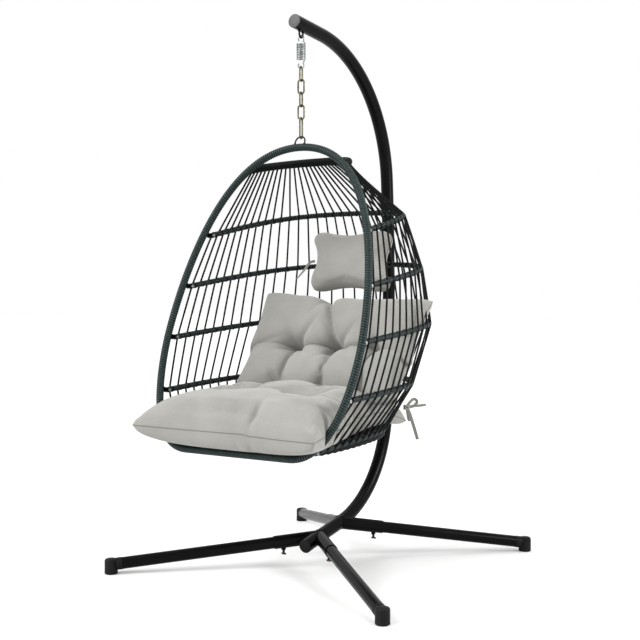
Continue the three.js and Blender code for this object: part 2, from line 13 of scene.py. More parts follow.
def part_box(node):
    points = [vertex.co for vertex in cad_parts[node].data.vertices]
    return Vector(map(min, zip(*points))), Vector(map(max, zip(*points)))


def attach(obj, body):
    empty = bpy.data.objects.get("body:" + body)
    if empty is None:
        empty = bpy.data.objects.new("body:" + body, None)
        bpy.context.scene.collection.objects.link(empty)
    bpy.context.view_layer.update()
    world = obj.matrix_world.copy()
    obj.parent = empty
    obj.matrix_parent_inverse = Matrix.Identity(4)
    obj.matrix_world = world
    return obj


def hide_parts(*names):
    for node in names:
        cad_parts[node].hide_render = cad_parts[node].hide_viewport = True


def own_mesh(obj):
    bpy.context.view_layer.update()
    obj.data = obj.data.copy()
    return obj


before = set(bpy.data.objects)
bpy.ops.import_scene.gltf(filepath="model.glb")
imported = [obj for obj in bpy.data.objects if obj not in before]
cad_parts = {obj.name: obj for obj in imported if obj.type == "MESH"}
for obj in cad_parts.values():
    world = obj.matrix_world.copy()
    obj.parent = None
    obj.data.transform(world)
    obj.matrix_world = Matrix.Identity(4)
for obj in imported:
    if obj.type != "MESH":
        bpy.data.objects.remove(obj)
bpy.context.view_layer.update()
RANDOM = random.Random(7)

# ---- driving dimensions, as in the CAD part ----
POST_TIP = (-0.194, 1.924, math.radians(-6))
POST_RUNS = [
    (0.17, 0.0),
    (0.52 * math.radians(80), -math.radians(80)),
    (6.48 * math.radians(8), -math.radians(8)),
    (0.42 * math.radians(74), -math.radians(74)),
    (0.243, 0.0),
]
POST_LENGTH = sum(length for length, _ in POST_RUNS)
POST_R = 0.024
POST_JOINT = 1.525
LEG_R = 0.021
SLEEVE_R = 0.0238
SLEEVE_LENGTH = 0.165
THUMB_BOLT_AT = 0.13
LEG_PAIRS = {
    "front": (Vector((0, -0.039, 0.1083)), Vector((0.552, -0.53, 0.032))),
    "rear": (Vector((0, 0.096, 0.1369)), Vector((0.516, 0.602, 0.032))),
}
SIDES = {"left": -1, "right": 1}

HANG_Y = -0.154
CHAIN_TURN = math.radians(12)
EYE_TOP_Z = 1.9
EYE_BOTTOM_Z = 1.8735
EYE_ROD_R = 0.0035
EYE_HALF_WIDTH = 0.0105
SPRING_WIRE_R = 0.0025
COIL_R = 0.0139
COIL_TURNS = 10
COIL_TOP_Z = 1.8545
COIL_BOTTOM_Z = 1.797
SPRING_HOOKS_Z = (1.8698, 1.7776)
HOOK_R = 0.0105
LINK_WIRE_R = 0.003
LINK_WIDTH = 0.028

LEAN = math.radians(19.4)
HOOP_TOP = Vector((0, -0.16752, 1.49176))
BASKET = Matrix.Translation(HOOP_TOP) @ Matrix.Rotation(-LEAN, 4, "X")
HOOP_R = 0.0125
HOOP_WIDEST = (0.4, 0.7)
HOOP_BOTTOM = (0.209, 1.0875)
RING_RISE = 0.0407
RING_R = 0.02
RING_ROD_R = 0.00275
BAR_R = 0.00875
PIVOT_BACK = 0.023
PIVOT_INSET = 0.013
BARS = {
    "u_bar_1": dict(down=0.311, depth=0.45, rise=math.radians(31), bulge=0.004, square=0.784),
    "u_bar_2": dict(down=0.503, depth=0.61, rise=math.radians(27.2), bulge=0.008, square=0.784),
    "u_bar_3": dict(down=0.693, depth=0.7, rise=math.radians(24.2), bulge=0.016, square=0.828),
    "u_bar_4": dict(down=0.885, depth=0.62, rise=math.radians(22.3), bulge=0.034, square=0.854),
    "seat_frame": dict(down=1.056, depth=0.6, rise=math.radians(22.5), bulge=0.022, square=0.9),
}
BAR_BODY = {"u_bar_1": "bar_1", "u_bar_2": "bar_2", "u_bar_3": "bar_3", "u_bar_4": "bar_4",
            "seat_frame": "seat"}
TOP_BAR = dict(down=0.074, depth=0.14, rise=math.radians(31), bulge=0.0, square=0.6)
TOP_BAR_R = 0.014
CORD_COUNT = 38
CORD_R = 0.0034
SEAT_CORD_COUNT = 31
SEAT_CROSS_COUNT = 24
SELVAGE_COUNT = 4
NET_SAG = 0.016
NET_REAR = (0.27, 0.46)  # where the net's rear starts along the frame, and how far it runs
FRONT_ROD_R = 0.006
BOSS_HALF = 0.0094
BOSS_GAP = 0.0005
TAB_THICKNESS = 0.003
TAB_R = 0.009

# ---- how the pieces are made ----
STEEL_SIDES = 40
CLOTH_FRAMES = 20
CLOTH_HOLD = 0.01  # how near a stitch the cloth is held down


# ---- curves ----
def bezier(points, steps):
    """Points along a cubic Bezier curve, both ends included."""
    a, b, c, d = points
    out = []
    for i in range(steps + 1):
        t = i / steps
        s = 1 - t
        out.append(a * s**3 + b * 3 * s * s * t + c * 3 * s * t * t + d * t**3)
    return out


def chained(*runs):
    """Runs of points end to end, with each shared point once."""
    out = list(runs[0])
    for run in runs[1:]:
        out += run[1:]
    return out


def arc(centre, radius, start, end, steps, level=(1, 0, 0)):
    """Points round an upright arc between two angles in degrees, from its level axis upwards."""
    out = []
    for i in range(steps + 1):
        angle = math.radians(start + (end - start) * i / steps)
        reach = Vector(level) * math.cos(angle) + Vector((0, 0, math.sin(angle)))
        out.append(Vector(centre) + reach * radius)
    return out


def mirrored(points):
    return [Vector((-p.x, p.y, p.z)) for p in reversed(points)]


class Path:
    """A polyline that is looked up by distance, with smooth tangents."""

    def __init__(self, points, closed=False):
        self.points = [Vector(p) for p in points]
        self.closed = closed
        if closed:
            self.points.append(self.points[0].copy())
        self.along = [0.0]
        for a, b in zip(self.points, self.points[1:]):
            self.along.append(self.along[-1] + (b - a).length)
        self.length = self.along[-1]

    def point(self, distance):
        if self.closed:
            distance %= self.length
        distance = min(max(distance, 0.0), self.length)
        low, high = 0, len(self.along) - 1
        while high - low > 1:
            middle = (low + high) // 2
            if self.along[middle] <= distance:
                low = middle
            else:
                high = middle
        span = self.along[high] - self.along[low]
        share = (distance - self.along[low]) / span if span else 0.0
        return self.points[low].lerp(self.points[high], share)

    def tangent(self, distance, reach=0.004):
        return (self.point(distance + reach) - self.point(distance - reach)).normalized()

    def even(self, count):
        """count + 1 points at even distances, or count of them on a closed path."""
        last = count if self.closed else count + 1
        return [self.point(self.length * i / count) for i in range(last)]


def post_at(distance):
    y, z, heading = POST_TIP
    left = distance
    for length, turn in POST_RUNS:
        step = min(left, length)
        part = turn * step / length
        chord = step if turn == 0 else 2 * length * math.sin(part / 2) / turn
        y += chord * math.cos(heading + part / 2)
        z += chord * math.sin(heading + part / 2)
        heading += part
        left -= step
    direction = Vector((0, math.cos(heading), math.sin(heading)))
    return Vector((0, y, z)) + direction * left, direction


def post_points(start, end, spacing=0.008):
    count = max(2, round((end - start) / spacing))
    return [post_at(start + (end - start) * i / count)[0] for i in range(count + 1)]


def hoop_side():
    half, down = HOOP_WIDEST
    foot_half, foot_down = HOOP_BOTTOM
    upper = [Vector(p) for p in ((0, 0, 0), (half, 0, 0), (half, 0, 0.001 - down), (half, 0, -down))]
    lower = [Vector(p) for p in ((half, 0, -down), (half, 0, -down - 0.087),
                                 (half - 0.013, 0, -foot_down), (foot_half, 0, -foot_down))]
    return bezier(upper, 60), bezier(lower, 60)


def hoop_points():
    upper, lower = hoop_side()
    right = chained(upper, lower)
    foot = [lower[-1].lerp(Vector((-lower[-1].x, 0, lower[-1].z)), i / 20) for i in range(21)]
    return chained(right, foot, mirrored(right))[:-1]


def hoop_half_width(down):
    points = chained(*hoop_side())
    for a, b in zip(points, points[1:]):
        if -b.z >= down:
            return a.x + (b.x - a.x) * (down + a.z) / (a.z - b.z)
    return points[-1].x


def bar_half_width(bar):
    return hoop_half_width(bar["down"]) - PIVOT_INSET


def bar_points(bar, half, back):
    """A U-bar's centreline from its left pivot round the back to its right pivot."""
    def at(x, reach):
        y = back + reach * math.cos(bar["rise"])
        return Vector((x, y, reach * math.sin(bar["rise"]) - bar["down"]))

    depth, square = bar["depth"], bar["square"]
    right = [at(0, depth), at(half * square, depth), at(half + bar["bulge"], depth * square), at(half, 0)]
    right = bezier(right, 80)
    return chained(mirrored(right), right)


def pivot_place(bar, x):
    return Vector((x, PIVOT_BACK, -bar["down"]))


def bar_path(name):
    bar = BARS[name]
    return Path(bar_points(bar, bar_half_width(bar), PIVOT_BACK))


def top_bar_path():
    return Path(bar_points(TOP_BAR, hoop_half_width(TOP_BAR["down"]), 0.0))


# ---- meshes ----
def transported(points, closed):
    """A smoothly turning (side, up) pair across the path at each point."""
    count = len(points)
    tangents = []
    for i in range(count):
        ahead = points[(i + 1) % count] if closed else points[min(i + 1, count - 1)]
        behind = points[(i - 1) % count] if closed else points[max(i - 1, 0)]
        tangents.append((ahead - behind).normalized())
    side = tangents[0].orthogonal().normalized()
    frames = []
    for i, tangent in enumerate(tangents):
        if i:
            turn = tangents[i - 1].rotation_difference(tangent)
            side = turn @ side
            side = (side - tangent * side.dot(tangent)).normalized()
        frames.append((side, tangent.cross(side), tangent))
    if closed:
        # The twist left over at the join is spread evenly along the loop.
        turn = tangents[-1].rotation_difference(tangents[0])
        last = turn @ frames[-1][0]
        twist = math.atan2(last.dot(frames[0][1]), last.dot(frames[0][0]))
        for i, (a, b, tangent) in enumerate(frames):
            angle = -twist * i / count
            frames[i] = (a * math.cos(angle) + b * math.sin(angle),
                         b * math.cos(angle) - a * math.sin(angle), tangent)
    return frames


class Shape:
    """Vertices and faces that grow as parts are added, given in the frame that place puts down."""

    def __init__(self, place=None):
        self.place = place
        self.verts = []
        self.faces = []

    def add(self, verts, faces):
        first = len(self.verts)
        self.verts += [self.place @ v for v in verts] if self.place else list(verts)
        self.faces += [[first + i for i in face] for face in faces]
        return self

    def tube(self, points, radius, sides, closed=False):
        """A round bar; radius is a number, or a function of the distance and the angle."""
        count = len(points)
        verts = []
        distance = 0.0
        for i, (point, (side, up, _)) in enumerate(zip(points, transported(points, closed))):
            if i:
                distance += (point - points[i - 1]).length
            for j in range(sides):
                angle = 2 * math.pi * j / sides
                r = radius(distance, angle) if callable(radius) else radius
                verts.append(point + (side * math.cos(angle) + up * math.sin(angle)) * r)
        faces = []
        for i in range(count if closed else count - 1):
            a, b = i * sides, ((i + 1) % count) * sides
            for j in range(sides):
                k = (j + 1) % sides
                faces.append([a + j, a + k, b + k, b + j])
        if not closed:
            faces.append(list(range(sides))[::-1])
            faces.append(list(range((count - 1) * sides, count * sides)))
        return self.add(verts, faces)

    def lathe(self, profile, segments, origin, axis):
        """A profile of (radius, height) turned about an axis; a radius of 0 closes an end."""
        axis = Vector(axis).normalized()
        side = axis.orthogonal().normalized()
        up = axis.cross(side)
        verts, rows = [], []
        for radius, height in profile:
            centre = Vector(origin) + axis * height
            if radius == 0:
                rows.append([len(verts)] * segments)
                verts.append(centre)
                continue
            rows.append(list(range(len(verts), len(verts) + segments)))
            for j in range(segments):
                angle = 2 * math.pi * j / segments
                verts.append(centre + (side * math.cos(angle) + up * math.sin(angle)) * radius)
        faces = []
        for a, b in zip(rows, rows[1:]):
            for j in range(segments):
                k = (j + 1) % segments
                corners = [a[j], a[k], b[k], b[j]]
                faces.append(list(dict.fromkeys(corners)))
        return self.add(verts, [f for f in faces if len(f) > 2])

    def piece(self, name, material, sharp=40):
        mesh = bpy.data.meshes.new(name)
        mesh.from_pydata(self.verts, [], self.faces)
        mesh.validate()
        mesh.materials.append(material)
        obj = bpy.data.objects.new(name, mesh)
        bpy.context.collection.objects.link(obj)
        mesh.polygons.foreach_set("use_smooth", [True] * len(mesh.polygons))
        mesh.set_sharp_from_angle(angle=math.radians(sharp))
        return obj


def finished(obj, body, slot, *nodes):
    """Puts a piece on its body and hides the CAD nodes it stands for. The slot is not used."""
    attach(obj, body)
    if nodes:
        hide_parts(*nodes)
    return obj


def configured(target, **settings):
    for key, value in settings.items():
        setattr(target, key, value)
    return target


# ---- materials ----
class Nodes:
    """A small helper to wire one material's nodes."""

    def __init__(self, name, colour, roughness, metallic=0.0):
        self.material = bpy.data.materials.new(name)
        self.material.use_nodes = True
        self.tree = self.material.node_tree
        self.shader = self.tree.nodes["Principled BSDF"]
        self.shader.inputs["Base Color"].default_value = (*colour, 1)
        self.shader.inputs["Roughness"].default_value = roughness
        self.shader.inputs["Metallic"].default_value = metallic
        self.coordinates = self.tree.nodes.new("ShaderNodeTexCoord").outputs["Object"]

    def add(self, kind, **settings):
        return configured(self.tree.nodes.new(kind), **settings)

    def link(self, source, node, socket):
        self.tree.links.new(source, node.inputs[socket])

    def noise(self, scale, detail=3.0, stretch=(1, 1, 1)):
        mapping = self.add("ShaderNodeMapping")
        mapping.inputs["Scale"].default_value = stretch
        self.link(self.coordinates, mapping, "Vector")
        texture = self.add("ShaderNodeTexNoise")
        texture.inputs["Scale"].default_value = scale
        texture.inputs["Detail"].default_value = detail
        self.link(mapping.outputs["Vector"], texture, "Vector")
        return texture.outputs["Fac"]

    def wave(self, direction, scale, distortion=0.0):
        texture = self.add("ShaderNodeTexWave", wave_type="BANDS", bands_direction=direction)
        texture.inputs["Scale"].default_value = scale
        texture.inputs["Distortion"].default_value = distortion
        self.link(self.coordinates, texture, "Vector")
        return texture.outputs["Fac"]

    def maths(self, operation, a, b):
        node = self.add("ShaderNodeMath", operation=operation)
        for i, value in enumerate((a, b)):
            if isinstance(value, (int, float)):
                node.inputs[i].default_value = value
            else:
                self.tree.links.new(value, node.inputs[i])
        return node.outputs["Value"]

    def ramp(self, factor, stops):
        node = self.add("ShaderNodeValToRGB")
        elements = node.color_ramp.elements
        while len(elements) < len(stops):
            elements.new(0.5)
        for element, (position, colour) in zip(elements, stops):
            element.position = position
            element.color = (*colour, 1)
        self.link(factor, node, "Fac")
        return node.outputs["Color"]

    def spread(self, factor, low, high):
        """A noise's middle range, spread from low to high."""
        node = self.add("ShaderNodeMapRange")
        for socket, value in (("From Min", 0.3), ("From Max", 0.7), ("To Min", low), ("To Max", high)):
            node.inputs[socket].default_value = value
        self.link(factor, node, "Value")
        return node.outputs["Result"]

    def colour(self, output):
        self.link(output, self.shader, "Base Color")

    def roughness(self, output):
        self.link(output, self.shader, "Roughness")

    def bump(self, height, distance, strength=1.0):
        """Bumps stack: each new one is laid over those before it."""
        node = self.add("ShaderNodeBump")
        node.inputs["Distance"].default_value = distance
        node.inputs["Strength"].default_value = strength
        self.link(height, node, "Height")
        before = self.shader.inputs["Normal"].links
        if before:
            self.link(before[0].from_socket, node, "Normal")
        self.link(node.outputs["Normal"], self.shader, "Normal")

    def set(self, **values):
        for key, value in values.items():
            self.shader.inputs[key.replace("_", " ")].default_value = value


def powder_coat():
    m = Nodes("black_powder_coat", (0.0025, 0.0025, 0.0027), 0.25)
    cloud = m.noise(9)
    m.colour(m.ramp(cloud, [(0.3, (0.0016, 0.0016, 0.0018)), (0.7, (0.0034, 0.0034, 0.0037))]))
    m.roughness(m.spread(m.noise(40, 4), 0.18, 0.27))
    m.bump(m.noise(1300, 2), 0.0002, 0.35)
    m.bump(m.noise(220, 2), 0.0004, 0.12)
    m.set(Specular_IOR_Level=0.06)
    return m.material


def moulded_plastic(name, low, high, roughness):
    m = Nodes(name, high, roughness)
    m.colour(m.ramp(m.noise(14), [(0.3, low), (0.7, high)]))
    m.roughness(m.spread(m.noise(60), roughness - 0.06, roughness + 0.08))
    m.bump(m.noise(1600, 2), 0.0002, 0.5)
    m.set(Specular_IOR_Level=0.07)
    return m.material


def speckled_plug():
    m = Nodes("grey_speckled_plastic", (0.15, 0.14, 0.145), 0.6)
    grain = m.noise(700, 2)
    m.colour(m.ramp(grain, [(0.38, (0.025, 0.023, 0.024)), (0.55, (0.06, 0.055, 0.057)),
                            (0.66, (0.13, 0.125, 0.127))]))
    m.bump(grain, 0.0003, 0.6)
    return m.material


def plated(name, low, high, roughness):
    """Plated metal, with dull patches and a faint drawn grain."""
    m = Nodes(name, high, roughness, metallic=1.0)
    m.colour(m.ramp(m.noise(60, 4), [(0.35, low), (0.65, high)]))
    m.roughness(m.spread(m.noise(240, 3), roughness - 0.08, roughness + 0.14))
    m.bump(m.noise(900, 2, (1, 1, 0.2)), 0.0001, 0.5)
    return m.material


def plastic_strip(name, low, high, roughness, gloss):
    """Extruded plastic strip or cord: faint streaks, weathered a little unevenly."""
    m = Nodes(name, high, roughness)
    m.colour(m.ramp(m.noise(150, 4), [(0.32, low), (0.7, high)]))
    m.set(Specular_IOR_Level=gloss)
    m.roughness(m.spread(m.noise(90, 3), roughness - 0.08, roughness + 0.1))
    m.bump(m.noise(500, 3), 0.00035, 0.5)
    return m.material


def cushion_fabric(name, shade):
    """Light grey plain weave, with slubs, slight random tone and a soft sheen. A shade below 1 darkens
    the colour throughout as painted shade.
    """
    low, high = (0.178, 0.173, 0.158), (0.222, 0.22, 0.204)
    m = Nodes(name, high, 0.9)
    threads = 330
    warp = m.wave("X", threads, 0.4)
    weft = m.maths("MULTIPLY", m.wave("Y", threads, 0.4), 0.5)
    weft = m.maths("ADD", weft, m.maths("MULTIPLY", m.wave("Z", threads, 0.4), 0.5))
    weave = m.maths("MULTIPLY", warp, weft)
    slub = m.noise(420, 3, (1, 0.25, 0.25))
    tone = m.maths("ADD", m.maths("MULTIPLY", m.noise(7, 3), 0.6), m.maths("MULTIPLY", slub, 0.4))
    m.colour(m.ramp(tone, [(0.36, [c * shade for c in low]), (0.62, [c * shade for c in high])]))
    m.roughness(m.spread(slub, 0.8, 0.95))
    m.bump(m.noise(24, 3), 0.004, 0.2)
    m.bump(weave, 0.0003, 0.5)
    m.bump(slub, 0.0004, 0.3)
    m.set(Sheen_Weight=0.25, Sheen_Roughness=0.5)
    return m.material


def floor_material():
    m = Nodes("studio_floor", (0.72, 0.72, 0.715), 0.75)
    m.colour(m.ramp(m.noise(1.5), [(0.3, (0.715, 0.715, 0.71)), (0.7, (0.725, 0.725, 0.72))]))
    return m.material


STEEL = powder_coat()
BLACK_PLASTIC = moulded_plastic("black_moulded_plastic", (0.004, 0.004, 0.004), (0.01, 0.01, 0.01), 0.5)
PLUG = speckled_plug()
ZINC = plated("bright_zinc", (0.17, 0.19, 0.185), (0.36, 0.38, 0.375), 0.34)
YELLOW_ZINC = plated("yellow_zinc", (0.34, 0.22, 0.07), (0.55, 0.4, 0.17), 0.35)
CHAIN = plated("dull_zinc", (0.045, 0.045, 0.03), (0.16, 0.155, 0.11), 0.42)
STRIP = plastic_strip("grey_green_strip", (0.005, 0.0125, 0.012), (0.016, 0.034, 0.032), 0.32, 0.22)
# The bars' strip is the hoop's strip made darker: painted shade for bars seen from inside.
BAR_STRIP_PAINTED_SHADE = plastic_strip("green_strip_painted_shade", (0.0025, 0.006, 0.0065), (0.009, 0.02, 0.02), 0.3, 0.22)
CORD = plastic_strip("black_cord", (0.0012, 0.0016, 0.0017), (0.003, 0.0038, 0.004), 0.5, 0.08)
FABRIC = cushion_fabric("cushion_fabric", 1.0)
# Half-bright fabric for the welt: painted shade, the dark line of the seam.
SEAM_PAINTED_SHADE = cushion_fabric("cushion_seam_painted_shade", 0.5)


# ---- camera, light and floor ----
def camera():
    data = configured(bpy.data.cameras.new("camera"), lens=64.5, sensor_width=36,
                      shift_x=0.0034, shift_y=-0.004)
    obj = bpy.data.objects.new("camera", data)
    obj.location = (2.272, -3.462, 1.003)
    obj.rotation_euler = (math.radians(90 - 1.47), 0, math.radians(33.65))
    bpy.context.collection.objects.link(obj)
    bpy.context.scene.camera = obj


def light(name, kind, place, target, power, **settings):
    data = configured(bpy.data.lights.new(name, kind), energy=power, **settings)
    obj = bpy.data.objects.new(name, data)
    obj.location = place
    obj.rotation_euler = (Vector(target) - Vector(place)).to_track_quat("-Z", "Y").to_euler()
    bpy.context.collection.objects.link(obj)


def studio():
    middle = (0, 0, 0.9)
    light("key_light", "SUN", (-1.6, -3.2, 3.4), middle, 3.6, angle=math.radians(35))
    light("side_light", "AREA", (3.6, 0.6, 2.2), middle, 110, size=1.4)
    light("top_light", "AREA", (0.4, 0.2, 4.0), middle, 35, size=1.8)
    world = bpy.data.worlds.new("studio")
    world.use_nodes = True
    background = world.node_tree.nodes["Background"]
    background.inputs["Color"].default_value = (1.0, 1.0, 1.0, 1)
    background.inputs["Strength"].default_value = 1.0
    bpy.context.scene.world = world
    corners = [Vector((x, y, -0.0005)) for x, y in ((-30, -30), (30, -30), (30, 30), (-30, 30))]
    Shape().add(corners, [[0, 1, 2, 3]]).piece("floor", floor_material())
    bpy.context.scene.view_settings.view_transform = "Standard"


# ---- stand ----
def leg_direction(pair, side):
    root, end = LEG_PAIRS[pair]
    return (Vector((end.x * side, end.y, end.z)) - root).normalized()


def hollow_end(shape, place, direction, outer, inner, depth):
    """An open tube's end: a rim and a short bore, on a tube that stops at place."""
    profile = [(outer, -0.0008), (outer - 0.0004, 0), (inner + 0.0003, 0), (inner, -0.0004),
               (inner, -depth)]
    shape.lathe(profile, STEEL_SIDES, place, direction)


def weld_bead(shape, pair, side):
    """The rough fillet where a sleeve meets the post."""
    root, _ = LEG_PAIRS[pair]
    direction = leg_direction(pair, side)
    across = direction.orthogonal().normalized()
    up = direction.cross(across)
    centre, post_way = min((post_at(POST_LENGTH * i / 900) for i in range(600, 901)),
                           key=lambda found: (found[0] - root).length)
    points = []
    for i in range(72):
        angle = 2 * math.pi * i / 72
        start = root + (across * math.cos(angle) + up * math.sin(angle)) * (SLEEVE_R + 0.0006)
        # Out along the sleeve's side until it comes out of the post.
        reach = 0.0
        while reach < 0.08:
            offset = start + direction * reach - centre
            offset -= post_way * offset.dot(post_way)
            if offset.length > POST_R:
                break
            reach += 0.0005
        points.append(start + direction * reach)
    shape.tube(points, lambda d, a: 0.0021 + 0.0005 * math.sin(d * 1900), 8, closed=True)


def build_post():
    upper = Shape().tube(post_points(0, POST_JOINT), POST_R, STEEL_SIDES)
    bend = arc((0, HANG_Y, EYE_BOTTOM_Z + EYE_HALF_WIDTH), EYE_HALF_WIDTH, 180, 360, 16, level=(0, 1, 0))
    eye = [Vector((0, bend[0].y, EYE_TOP_Z))] + bend + [Vector((0, bend[-1].y, EYE_TOP_Z))]
    upper.tube(eye, EYE_ROD_R, 14)
    # A weld bead where each leg of the eye meets the post's sloping underside.
    bead = [(0, -0.002), (0.0062, -0.002), (0.0055, 0.002), (0.0042, 0.0045), (0, 0.0045)]
    for end in (-EYE_HALF_WIDTH, EYE_HALF_WIDTH):
        upper.lathe(bead, 18, (0, HANG_Y + end, 1.8967 - end * 0.105), (0, 0, -1))
    finished(upper.piece("post_upper_tube", STEEL), "stand", "post_steel", "upper_post")

    lower = Shape().tube(post_points(POST_JOINT + 0.0006, POST_LENGTH), POST_R, STEEL_SIDES)
    for pair, (root, _) in LEG_PAIRS.items():
        for side in SIDES.values():
            direction = leg_direction(pair, side)
            end = root + direction * SLEEVE_LENGTH
            sleeve = [root + (end - root) * i / 12 for i in range(12)] + [end - direction * 0.0008]
            lower.tube(sleeve, SLEEVE_R, STEEL_SIDES)
            hollow_end(lower, end, direction, SLEEVE_R, LEG_R + 0.0002, 0.004)
            weld_bead(lower, pair, side)
            nut = root + direction * THUMB_BOLT_AT
            boss = [(0, -0.0325), (0.005, -0.0325), (0.0088, -0.0285), (0.009, -0.021), (0, -0.021)]
            lower.lathe(boss, 6, nut, (0, 0, 1))
    finished(lower.piece("post_lower_tube", STEEL), "stand", "post_steel", "lower_post")


def build_caps():
    profile = [(0, -0.012), (0.0226, -0.012), (0.0226, 0.0003), (0.0237, 0.0003), (0.024, 0.0012),
               (0.0236, 0.0026), (0.0222, 0.0034), (0.008, 0.0037), (0, 0.0037)]
    for name, node, distance, outward, material, slot in (
        ("top_plug", "post_top_cap", 0, -1, PLUG, "grey_plastic"),
        ("base_plug", "post_base_cap", POST_LENGTH, 1, BLACK_PLASTIC, "black_plastic"),
    ):
        place, direction = post_at(distance)
        obj = Shape().lathe(profile, STEEL_SIDES, place, direction * outward).piece(name, material)
        finished(obj, "stand", slot, node)


def build_post_bolts():
    reach = POST_R + 0.0003
    head = [(0, -reach - 0.0048), (0.003, -reach - 0.0047), (0.0052, -reach - 0.0035),
            (0.0064, -reach - 0.0012), (0.0065, -reach), (0.004, -reach), (0.004, reach + 0.0002)]
    nut = [(0.004, reach - 0.001), (0.0068, reach + 0.0002), (0.0072, reach + 0.001),
           (0.0072, reach + 0.005), (0.0066, reach + 0.006), (0.004, reach + 0.006),
           (0.0036, reach + 0.0075), (0, reach + 0.0075)]
    for i in range(2):
        place, _ = post_at(POST_JOINT - 0.018 - 0.028 * i)
        shape = Shape().lathe(head, 28, place, (1, 0, 0))
        shape.lathe(nut, 6, place, (1, 0, 0))
        finished(shape.piece(f"joint_bolt_{i + 1}", BLACK_PLASTIC), "stand", "black_fastener",
                 f"post_bolt_{i + 1}")


def build_legs():
    for pair, (root, end) in LEG_PAIRS.items():
        for label, side in SIDES.items():
            direction = leg_direction(pair, side)
            foot = Vector((end.x * side, end.y, end.z))
            start = root + direction * 0.045
            leg = Shape().tube([start.lerp(foot, i / 24) for i in range(25)], LEG_R, STEEL_SIDES)
            finished(leg.piece(f"leg_tube_{pair}_{label}", STEEL), "stand", "leg_steel",
                     f"leg_{pair}_{label}")
            build_foot(pair, label, foot, direction)
            build_thumb_bolt(pair, label, root + direction * THUMB_BOLT_AT)


def build_foot(pair, label, foot, direction):
    """An upright moulded cup with a domed top and a collar over the leg's end."""
    profile = [(0, 0), (0.0195, 0), (0.0212, 0.0006), (0.0232, 0.003), (0.0236, 0.006),
               (0.0232, 0.0075), (0.0232, 0.044), (0.0226, 0.048), (0.0205, 0.0515),
               (0.016, 0.0535), (0.008, 0.0545), (0, 0.0547)]
    shape = Shape().lathe(profile, STEEL_SIDES, (foot.x, foot.y, 0), (0, 0, 1))
    collar = [(0, -0.02), (0.0206, -0.02), (0.0217, -0.019), (0.0217, 0.0), (0.0206, 0.001), (0, 0.001)]
    shape.lathe(collar, STEEL_SIDES, foot - direction * 0.019, direction)
    finished(shape.piece(f"foot_cup_{pair}_{label}", BLACK_PLASTIC), "stand", "black_plastic",
             f"foot_{pair}_{label}")


def build_thumb_bolt(pair, label, place):
    shank = [(0, -0.044), (0.004, -0.044), (0.0044, -0.043), (0.0044, -0.034),
             (0.0032, -0.034), (0.0032, -0.022), (0, -0.022)]
    shape = Shape().lathe(shank, 24, place, (0, 0, 1))
    tip = [(0, -0.0485), (0.0026, -0.0485), (0.0032, -0.0479), (0.0032, -0.0438), (0, -0.0438)]
    tip = Shape().lathe(tip, 24, place, (0, 0, 1)).piece(f"thumb_screw_tip_{pair}_{label}", YELLOW_ZINC)
    finished(tip, "stand", "yellow_zinc")
    # Two rounded wings.
    for way in (-1, 1):
        wing = []
        for i in range(9):
            bow = math.sin(math.pi * i / 8)
            out = way * (0.0035 + 0.0055 * i / 8)
            wing.append(place + Vector((out, 0.0022 * bow, -0.0425 - 0.003 * bow)))
        shape.tube(wing, lambda d, a: 0.0028 - 0.05 * d, 10)
    finished(shape.piece(f"thumb_screw_{pair}_{label}", BLACK_PLASTIC), "stand", "yellow_zinc",
             f"thumb_bolt_{pair}_{label}")


# ---- spring and chain ----
def smoothed(points, per_span=4):
    """A Catmull-Rom curve through the points."""
    out = []
    for i in range(len(points) - 1):
        a = points[max(i - 1, 0)]
        b, c = points[i], points[i + 1]
        d = points[min(i + 2, len(points) - 1)]
        for k in range(per_span):
            t = k / per_span
            out.append(0.5 * ((2 * b) + (c - a) * t + (2 * a - 5 * b + 4 * c - d) * t * t
                              + (3 * b - 3 * c + d - a) * t**3))
    out.append(points[-1].copy())
    return out


def build_spring():
    coil = []
    count = COIL_TURNS * 24
    for i in range(count + 1):
        angle = 2 * math.pi * i / 24
        z = COIL_TOP_Z + (COIL_BOTTOM_Z - COIL_TOP_Z) * i / count
        coil.append(Vector((COIL_R * math.cos(angle), COIL_R * math.sin(angle), z)))
    upper, lower = [(0, 0, z) for z in SPRING_HOOKS_Z]
    points = arc(upper, HOOK_R, 225, -40, 24) + coil + arc(lower, HOOK_R, 40, -225, 24)
    place = Matrix.Translation((0, HANG_Y, 0)) @ Matrix.Rotation(CHAIN_TURN, 4, "Z")
    shape = Shape(place).tube(smoothed(points, 2), SPRING_WIRE_R, 12)
    finished(shape.piece("spring_wire", ZINC), "spring", "zinc", "suspension_spring")


def link_points(length, count=96):
    radius = LINK_WIDTH / 2 - LINK_WIRE_R
    straight = length - LINK_WIDTH
    arc = math.pi * radius
    half = arc + straight
    points = []
    for i in range(count):
        lap = i / count * 2 * half
        back = lap >= half
        along = lap - half if back else lap
        sign = -1 if back else 1
        if along < straight:
            points.append(Vector((sign * radius, 0, sign * (along - straight / 2))))
            continue
        angle = (along - straight) / radius
        z = straight / 2 + radius * math.sin(angle)
        points.append(Vector((sign * radius * math.cos(angle), 0, sign * z)))
    return points


def build_chain():
    for i in range(1, 6):
        low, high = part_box(f"chain_link_{i}")
        place = Matrix.Translation((0, HANG_Y, (low[2] + high[2]) / 2))
        place = place @ Matrix.Rotation(CHAIN_TURN + i * math.pi / 2, 4, "Z")
        length = high[2] - low[2]
        points = link_points(length)
        shape = Shape(place).tube(points, LINK_WIRE_R, 14, closed=True)
        # The butt weld, a slight swelling in one straight side.
        middle = points[0] + Vector((0, 0, (length - LINK_WIDTH) / 2))
        swell = [middle + Vector((0, 0, 0.004 * t)) for t in (-1, -0.5, 0, 0.5, 1)]
        shape.tube(swell, lambda d, a: LINK_WIRE_R + 0.00035 * math.sin(math.pi * d / 0.008), 14)
        finished(shape.piece(f"chain_ring_{i}", CHAIN), f"link_{i}", "chain_steel", f"chain_link_{i}")


